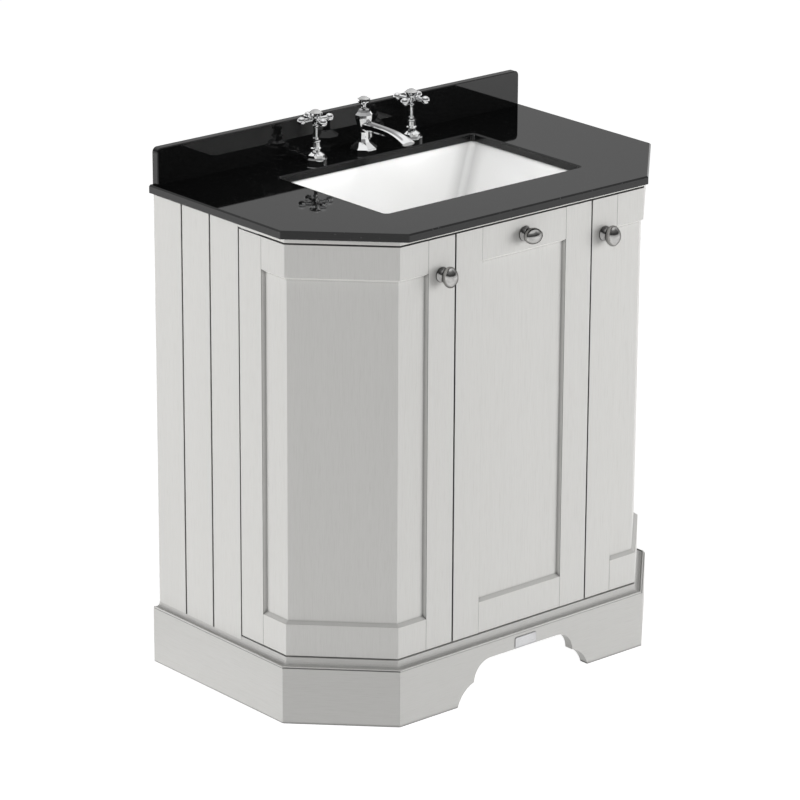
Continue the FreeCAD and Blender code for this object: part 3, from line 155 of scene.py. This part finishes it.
class Tree:
    """A short way to write a material's or the world's node tree."""

    def __init__(self, owner):
        owner.use_nodes = True
        self.nodes = owner.node_tree.nodes
        self.links = owner.node_tree.links
        self.nodes.clear()

    def add(self, kind, inputs=None, **settings):
        node = self.nodes.new(kind)
        for name, value in settings.items():
            setattr(node, name, value)
        for name, value in (inputs or {}).items():
            self.feed(node.inputs[name], value)
        return node

    def feed(self, socket, value):
        """Link a socket to a socket or to a node's first output, or set its value."""
        if isinstance(value, bpy.types.NodeSocket):
            self.links.new(value, socket)
        elif isinstance(value, bpy.types.Node):
            self.links.new(value.outputs[0], socket)
        else:
            socket.default_value = value

    def place(self, scale):
        """Object coordinates stretched by this many units per metre along X, Y and Z."""
        where = self.add("ShaderNodeTexCoord").outputs["Object"]
        return self.add("ShaderNodeMapping", {"Vector": where, "Scale": scale})

    def noise(self, scale, detail=2.0, rough=0.5, distortion=0.0):
        return self.add("ShaderNodeTexNoise", {
            "Vector": self.place(scale), "Scale": 1.0, "Detail": detail, "Roughness": rough,
            "Distortion": distortion})

    def cells(self, scale):
        return self.add("ShaderNodeTexVoronoi", {
            "Vector": self.place(even(1)), "Scale": scale}, feature="F1")

    def ramp(self, value, band, low_out=0.0, high_out=1.0):
        """Map a value from a band of (low, high) to a range of outputs."""
        return self.add("ShaderNodeMapRange", {
            "Value": value, "From Min": band[0], "From Max": band[1], "To Min": low_out,
            "To Max": high_out})

    def mix(self, share, first, second):
        node = self.add("ShaderNodeMix", data_type="RGBA")
        self.feed(node.inputs["Factor"], share)
        self.feed(node.inputs["A"], first)
        self.feed(node.inputs["B"], second)
        return node.outputs["Result"]

    def fade(self, value, band, first, second):
        """Go from the first colour to the second while a value crosses a band."""
        return self.mix(self.ramp(value, band), first, second)

    def calc(self, kind, first, second):
        node = self.add("ShaderNodeMath", operation=kind)
        self.feed(node.inputs[0], first)
        self.feed(node.inputs[1], second)
        return node.outputs[0]

    def blend(self, first, first_share, second, second_share):
        """The sum of two values, each times its share."""
        return self.calc("ADD", self.calc("MULTIPLY", first, first_share),
                         self.calc("MULTIPLY", second, second_share))

    def bump(self, height, strength, distance, normal=None):
        node = self.add("ShaderNodeBump", {
            "Height": height, "Strength": strength, "Distance": distance})
        if normal is not None:
            self.feed(node.inputs["Normal"], normal)
        return node

    def painted_shade(self, colour, reach, left, shut=0.45, clear=0.92):
        """Paint shade into a colour: darken it in gaps, grooves and inner corners narrower than
        reach.
        """
        near = self.add("ShaderNodeAmbientOcclusion", {"Distance": reach})
        share = self.ramp(near.outputs["AO"], (shut, clear), left, 1.0)
        return self.mix(share, grey(0.0), colour)

    def surface(self, **inputs):
        """Finish a material with a Principled shader."""
        shader = self.add("ShaderNodeBsdfPrincipled")
        for name, value in inputs.items():
            self.feed(shader.inputs[name.replace("_", " ")], value)
        self.add("ShaderNodeOutputMaterial", {"Surface": shader})


def even(scale):
    return (scale, scale, scale)


def grey(red, green=None, blue=None):
    green = red if green is None else green
    blue = red if blue is None else blue
    return (red, green, blue, 1.0)


def tinted(tone, shares):
    return grey(*(tone * share for share in shares))


def material(name):
    made = bpy.data.materials.new(name)
    return made, Tree(made)


# Finishes

def painted_timber(name, grain, tone, painted_shade=None):
    """Eggshell paint over open-grained timber; given a shade setting, it also gets painted shade in
    gaps, grooves and inner corners.
    """
    made, tree = material(name)
    streak_scale, cloud_scale, pore_scale = grain
    streaks = tree.noise(streak_scale, 4.0, 0.6, 0.2)
    cloud = tree.noise(cloud_scale, distortion=0.3)
    pits = tree.ramp(tree.noise(pore_scale), PIT_BAND)
    share = tree.blend(tree.ramp(streaks, MIDDLE), STREAK_SHARE,
                       tree.ramp(cloud, MIDDLE), CLOUD_SHARE)
    colour = tree.mix(share, tinted(tone, PAINT_LIGHT), tinted(tone, PAINT_DARK))
    colour = tree.mix(pits, tinted(tone, PAINT_PITS), colour)
    if painted_shade:
        colour = tree.painted_shade(colour, *painted_shade)
    grain_relief = tree.bump(streaks, 0.12, 0.4 * MM)
    tree.surface(
        Base_Color=colour,
        Roughness=tree.ramp(streaks, MIDDLE, 0.42, 0.56),
        Normal=tree.bump(pits, 0.2, 0.2 * MM, grain_relief),
        Specular_IOR_Level=0.35)
    return made


def carcass_board():
    """Light grey coated board with a faint linen emboss."""
    made, tree = material("carcass_board")
    weave = tree.noise(even(1400))
    cloud = tree.noise(even(8), 3.0)
    tree.surface(
        Base_Color=tree.fade(cloud, MIDDLE, grey(0.66, 0.655, 0.63), grey(0.72, 0.715, 0.69)),
        Roughness=tree.ramp(weave, MIDDLE, 0.4, 0.55),
        Normal=tree.bump(weave, 0.15, 0.2 * MM))
    return made


def black_stone():
    """Polished black granite: small grey crystals and a few bright flecks."""
    made, tree = material("black_stone")
    crystal = tree.cells(CRYSTAL_SCALE)
    fleck = tree.cells(FLECK_SCALE)
    mottle = tree.noise(even(260), 4.0, 0.6)
    tint = tree.add("ShaderNodeSeparateColor", {"Color": crystal.outputs["Color"]})
    ground = tree.fade(tint.outputs[0], CRYSTAL_BAND, grey(0.0022), grey(0.009, 0.0093, 0.0093))
    ground = tree.fade(mottle, MOTTLE_BAND, ground, grey(0.0045, 0.0047, 0.0048))
    chosen = tree.add("ShaderNodeSeparateColor", {"Color": fleck.outputs["Color"]})
    sparse = tree.ramp(chosen.outputs[1], FLECK_CHOICE)
    centre = tree.ramp(fleck.outputs["Distance"], FLECK_SIZE, 1.0, 0.0)
    bright = tree.calc("MULTIPLY", sparse, centre)
    tree.surface(
        Base_Color=tree.mix(bright, ground, grey(0.05, 0.051, 0.052)),
        Roughness=tree.ramp(mottle, MIDDLE, 0.02, 0.05),
        IOR=1.43)
    return made


def glazed(name, tone, rough, corner):
    """White glaze with a slight waviness, and painted shade that greys it within reach of an inner
    corner.
    """
    made, tree = material(name)
    cloud = tree.noise(even(6))
    colour = tree.fade(cloud, MIDDLE, grey(tone), tinted(tone, (0.985, 0.985, 0.975)))
    tree.surface(
        Base_Color=tree.painted_shade(colour, corner, GLAZE_SHADE_LEFT),
        Roughness=rough,
        Normal=tree.bump(tree.noise(even(18)), 0.08, 2 * MM),
        Coat_Weight=0.5,
        Coat_Roughness=0.03)
    return made


def metal(name, base, rough_low, rough_high, mark_scale, relief=0.02):
    """Metal whose roughness and tone vary along fine marks."""
    made, tree = material(name)
    marks = tree.noise(mark_scale, 3.0)
    smear = tree.noise(even(30), 3.0, 0.6)
    tree.surface(
        Base_Color=tree.fade(smear, SMEAR_BAND, base, tinted(SMEAR_TONE, base[:3])),
        Metallic=1.0,
        Roughness=tree.ramp(marks, MIDDLE, rough_low, rough_high),
        Normal=tree.bump(marks, relief, 0.2 * MM))
    return made


def pewter():
    """Antique pewter: satin on the high places, darker at the rim, and darkened in its hollows and
    where it meets the door by patina and painted shade.
    """
    made, tree = material("pewter_knob")
    marks = tree.noise((700, 700, 120), 3.0, 0.6)
    patches = tree.noise(even(60), 3.0, 0.6)
    patina_and_shade = tree.add("ShaderNodeAmbientOcclusion", {"Distance": PATINA_AND_SHADE_REACH})
    colour = tree.fade(patches, SMEAR_BAND, grey(0.51, 0.505, 0.495), grey(0.38, 0.376, 0.368))
    colour = tree.fade(patina_and_shade.outputs["AO"], PATINA_AND_SHADE_BAND, grey(0.04, 0.039, 0.038), colour)
    tree.surface(
        Base_Color=colour,
        Metallic=1.0,
        Roughness=tree.ramp(marks, MIDDLE, 0.14, 0.22),
        Specular_Tint=grey(0.05),
        Normal=tree.bump(marks, 0.04, 0.2 * MM))
    return made


def plastic():
    """White moulded plastic with a fine texture."""
    made, tree = material("fitting_plastic")
    texture = tree.noise(even(900))
    tree.surface(
        Base_Color=tree.fade(texture, MIDDLE, grey(0.74, 0.74, 0.72), grey(0.79, 0.79, 0.77)),
        Roughness=0.45,
        Normal=tree.bump(texture, 0.1, 0.1 * MM))
    return made


FINISHES = {
    # Doors, carcass and trims: painted shade in their gaps, grooves and inner corners
    "painted_timber": painted_timber("painted_timber", UPRIGHT_GRAIN, 0.68, JOINT_SHADE),
    # The plinth boards: grain laid level, and the paint darker as painted shade
    "level_timber": painted_timber("painted_timber_level", LEVEL_GRAIN, 0.59, PLINTH_SHADE),
    # The moulding: deeper painted shade in its cove
    "painted_shade_cove_timber": painted_timber("painted_timber_cove_shade", LEVEL_GRAIN, 0.63, COVE_SHADE),
    # The head's sloped arris: the paint lightened as a painted highlight
    "painted_highlight_arris": painted_timber("painted_timber_highlight_arris", UPRIGHT_GRAIN, 0.92),
    # The foot's sloped ledge: the paint darkened as painted shade
    "painted_shade_ledge": painted_timber("painted_timber_shade_ledge", UPRIGHT_GRAIN, 0.6, JOINT_SHADE),
    "carcass_board": carcass_board(),
    "black_stone": black_stone(),
    # The basin and the buttons: painted shade near their inner corners
    "white_ceramic": glazed("white_ceramic", 0.94, 0.1, 0.05),
    "white_button": glazed("white_button", 0.48, 0.12, 0.004),
    "bright_chrome": metal("bright_chrome", grey(0.86, 0.865, 0.87), 0.03, 0.07, even(200)),
    "zinc_steel": metal("zinc_steel", grey(0.60, 0.61, 0.62), 0.25, 0.42, (400, 400, 60), 0.08),
    "nut_brass": metal("nut_brass", grey(0.72, 0.55, 0.26), 0.2, 0.35, even(300), 0.05),
    "badge_metal": metal("badge_metal", grey(0.6, 0.6, 0.61), 0.26, 0.38, (40, 40, 900), 0.05),
    "pewter_knob": pewter(),
    "fitting_plastic": plastic(),
}


def wear(piece, finish):
    """Give every face of a piece one finish."""
    piece.data.materials.clear()
    piece.data.materials.append(FINISHES[finish])


def soften(node):
    """Ease a node's sharp edges by modifiers, without changing its mesh."""
    weld = node.modifiers.new("weld", "WELD")
    weld.merge_threshold = WELD_REACH
    ease = node.modifiers.new("eased_edges", "BEVEL")
    ease.width = EASED_EDGE
    ease.segments = EASED_SEGMENTS
    ease.limit_method = "ANGLE"
    ease.angle_limit = SHARP_FROM
    ease.harden_normals = True


SLOT_OF = {part["node"]: part["material_slot"] for part in frame["record"]["subparts"]}
for name, node in NODES.items():
    wear(node, OTHER_FINISH.get(name, SLOT_OF[name]))
    if SLOT_OF[name] == "painted_timber":
        soften(node)


# Pieces too small for the CAD model

def solid(name, mesh_work, finishes, body):
    """Make a piece from a function that fills a bmesh, and seat it on a body."""
    mesh = bpy.data.meshes.new(name)
    work = bmesh.new()
    mesh_work(work)
    bmesh.ops.recalc_face_normals(work, faces=work.faces)
    work.to_mesh(mesh)
    work.free()
    piece = bpy.data.objects.new(name, mesh)
    bpy.context.scene.collection.objects.link(piece)
    for finish in finishes:
        mesh.materials.append(FINISHES[finish])
    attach(piece, body)
    return piece


def badge_outline(grow):
    """The plate's outline with round corners, grown or shrunk by a length."""
    points = []
    for corner, (east, up) in enumerate(((1, 1), (-1, 1), (-1, -1), (1, -1))):
        for turn in range(0, 91, CORNER_STEP):
            angle = math.radians(90 * corner + turn)
            points.append((
                east * (BADGE_WIDTH / 2 - BADGE_CORNER) + (BADGE_CORNER + grow) * math.cos(angle),
                up * (BADGE_HEIGHT / 2 - BADGE_CORNER) + (BADGE_CORNER + grow) * math.sin(angle)))
    return points


def make_badge():
    """A bare plate with round corners and a raised rim on the plinth front."""
    low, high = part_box("plinth_front")
    middle = Vector((BADGE_EAST, low.y, high.z - BADGE_DROP))

    def fill(work):
        rings = []
        for grow, out in BADGE_RIM:
            rings.append([work.verts.new((middle.x + x, middle.y - out * MM, middle.z + z))
                          for x, z in badge_outline(grow * MM)])
        for here, there in zip(rings, rings[1:]):
            for step in range(len(here)):
                after = (step + 1) % len(here)
                work.faces.new((here[step], here[after], there[after], there[step]))
        work.faces.new(rings[0])
        work.faces.new(rings[-1])

    badge = solid("bare_badge", fill, ("badge_metal",), "cabinet")
    for face in badge.data.polygons:
        face.use_smooth = True
    badge.data.set_sharp_from_angle(angle=BADGE_SHARP_FROM)


def bent_line(low, high, inset, shift):
    """The plan of a line round the left door's corner, at one depth below its face."""
    lag = inset * math.tan(HALF_BEND)
    return [
        (low.x + inset, high.y - shift),
        (low.x + inset, low.y + BODY_CORNER + lag),
        (low.x + BODY_CORNER + lag, low.y + inset),
        (high.x - shift, low.y + inset),
    ]


def flat_line(low, high, inset, shift):
    """The plan of a line across the flap, at one depth below its face."""
    return [(low.x + shift, low.y + inset), (high.x - shift, low.y + inset)]


def make_recess_trim(door, line, mirror=1):
    """The sloped ledge round a door's recess: deeper at the foot and the head than at the sides."""
    low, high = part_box(f"{door}_bottom_rail")
    foot, head = high.z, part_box(f"{door}_top_rail")[0].z
    if mirror < 0:
        low, high = Vector((-high.x, low.y, low.z)), Vector((-low.x, high.y, high.z))
    lines = (line(low, high, LEDGE_START, 0), line(low, high, RECESS, 0),
             line(low, high, RECESS, LEDGE_SIDE))
    corners = []
    for z, rise, order in ((foot, LEDGE_FOOT, 1), (head, -LEDGE_HEAD, -1)):
        levels = (z, z, z + rise)
        for places in list(zip(*lines))[::order]:
            corners.append([(x * mirror, y, level) for (x, y), level in zip(places, levels)])
    head_from = len(corners) // 2

    def fill(work):
        """Join each corner's triangle to the next one's; the sloped faces at the head get a painted
        highlight and those at the foot painted shade.
        """
        rings = [[work.verts.new(point) for point in corner] for corner in corners]
        for number, here in enumerate(rings):
            after = rings[(number + 1) % len(rings)]
            upright = number in (head_from - 1, len(rings) - 1)
            slope = PAINT if upright else ARRIS if number >= head_from else LEDGE
            for step, paint in enumerate((PAINT, PAINT, slope)):
                other = (step + 1) % 3
                face = work.faces.new((here[step], here[other], after[other], after[step]))
                face.material_index = paint

    solid(f"{door}_recess_trim", fill, TRIM_FINISHES, door)


make_badge()
make_recess_trim("left_door", bent_line)
make_recess_trim("right_door", bent_line, -1)
make_recess_trim("flap", flat_line)


# Studio

def backdrop_share(tree):
    """1 where a ray shows the backdrop: seen directly, in a mirror or through glass."""
    path = tree.add("ShaderNodeLightPath")
    direct = tree.calc("MAXIMUM", path.outputs["Is Camera Ray"], path.outputs["Is Glossy Ray"])
    return tree.calc("MAXIMUM", direct, path.outputs["Is Transmission Ray"])


def stage_floor():
    """A wide floor that shows white round the unit and keeps its soft shadow."""
    mesh = bpy.data.meshes.new("studio_floor")
    corners = [(x * FLOOR_REACH, y * FLOOR_REACH, 0)
               for x, y in ((-1, -1), (1, -1), (1, 1), (-1, 1))]
    mesh.from_pydata(corners, [], [(0, 1, 2, 3)])
    floor = bpy.data.objects.new("studio_floor", mesh)
    bpy.context.scene.collection.objects.link(floor)
    made, tree = material("studio_floor")
    matt = tree.add("ShaderNodeBsdfDiffuse", {"Color": grey(FLOOR_TONE)})
    strength = tree.calc("MULTIPLY", backdrop_share(tree), FLOOR_GLOW)
    glow = tree.add("ShaderNodeEmission", {"Color": grey(1.0), "Strength": strength})
    both = tree.add("ShaderNodeAddShader", {0: matt, 1: glow})
    tree.add("ShaderNodeOutputMaterial", {"Surface": both})
    mesh.materials.append(made)


def studio_world():
    """A room that darkens upwards lights the unit. The camera and polished surfaces see a white
    horizon, a far wall above it on the wall's side and a dim room on the photograph's side."""
    world = bpy.data.worlds.new("studio")
    bpy.context.scene.world = world
    tree = Tree(world)
    direction = tree.add("ShaderNodeTexCoord").outputs["Generated"]
    parts = tree.add("ShaderNodeSeparateXYZ", {"Vector": direction})
    height = parts.outputs["Z"]
    white = grey(1.0)
    room = tree.fade(height, ROOM_BAND, grey(ROOM_LOW), grey(ROOM_HIGH))
    near = tree.fade(height, NEAR_BAND, grey(NEAR_LOW), grey(NEAR_HIGH))
    far = tree.fade(height, FAR_BAND, grey(FAR_LOW), grey(FAR_HIGH))
    away = tree.blend(parts.outputs["X"], AWAY_X, parts.outputs["Y"], AWAY_Y)
    upper = tree.fade(away, AWAY_BAND, near, far)
    upper = tree.fade(height, CEILING_BAND, upper, white)
    backdrop = tree.fade(height, HORIZON_BAND, white, upper)
    shown = tree.mix(backdrop_share(tree), room, backdrop)
    light = tree.add("ShaderNodeBackground", {"Color": shown, "Strength": 1.0})
    tree.add("ShaderNodeOutputWorld", {"Surface": light})


def soft_light(name, place, aim, size, power):
    """A soft box that neither the camera nor polished surfaces show."""
    data = bpy.data.lights.new(name, "AREA")
    data.shape = "RECTANGLE"
    data.size, data.size_y = size
    data.energy = power
    lamp = bpy.data.objects.new(name, data)
    lamp.location = place
    lamp.rotation_euler = (Vector(aim) - Vector(place)).to_track_quat("-Z", "Y").to_euler()
    lamp.visible_camera = False
    lamp.visible_glossy = False
    bpy.context.scene.collection.objects.link(lamp)


def make_camera():
    """The photograph's camera."""
    data = bpy.data.cameras.new("camera")
    data.lens = CAMERA_LENS
    data.sensor_width = CAMERA_SENSOR
    data.sensor_fit = "HORIZONTAL"
    data.clip_end = CAMERA_RANGE
    camera = bpy.data.objects.new("camera", data)
    turn = (Matrix.Rotation(-CAMERA_HEADING, 4, "Z")
            @ Matrix.Rotation(math.pi / 2 - CAMERA_DIP, 4, "X")
            @ Matrix.Rotation(CAMERA_ROLL, 4, "Z"))
    camera.matrix_world = Matrix.Translation(CAMERA_PLACE) @ turn
    bpy.context.scene.collection.objects.link(camera)
    bpy.context.scene.camera = camera


stage_floor()
studio_world()
for name, place, aim, size, power in LAMPS:
    soft_light(name, place, aim, size, power)
make_camera()
bpy.context.scene.view_settings.view_transform = "Standard"
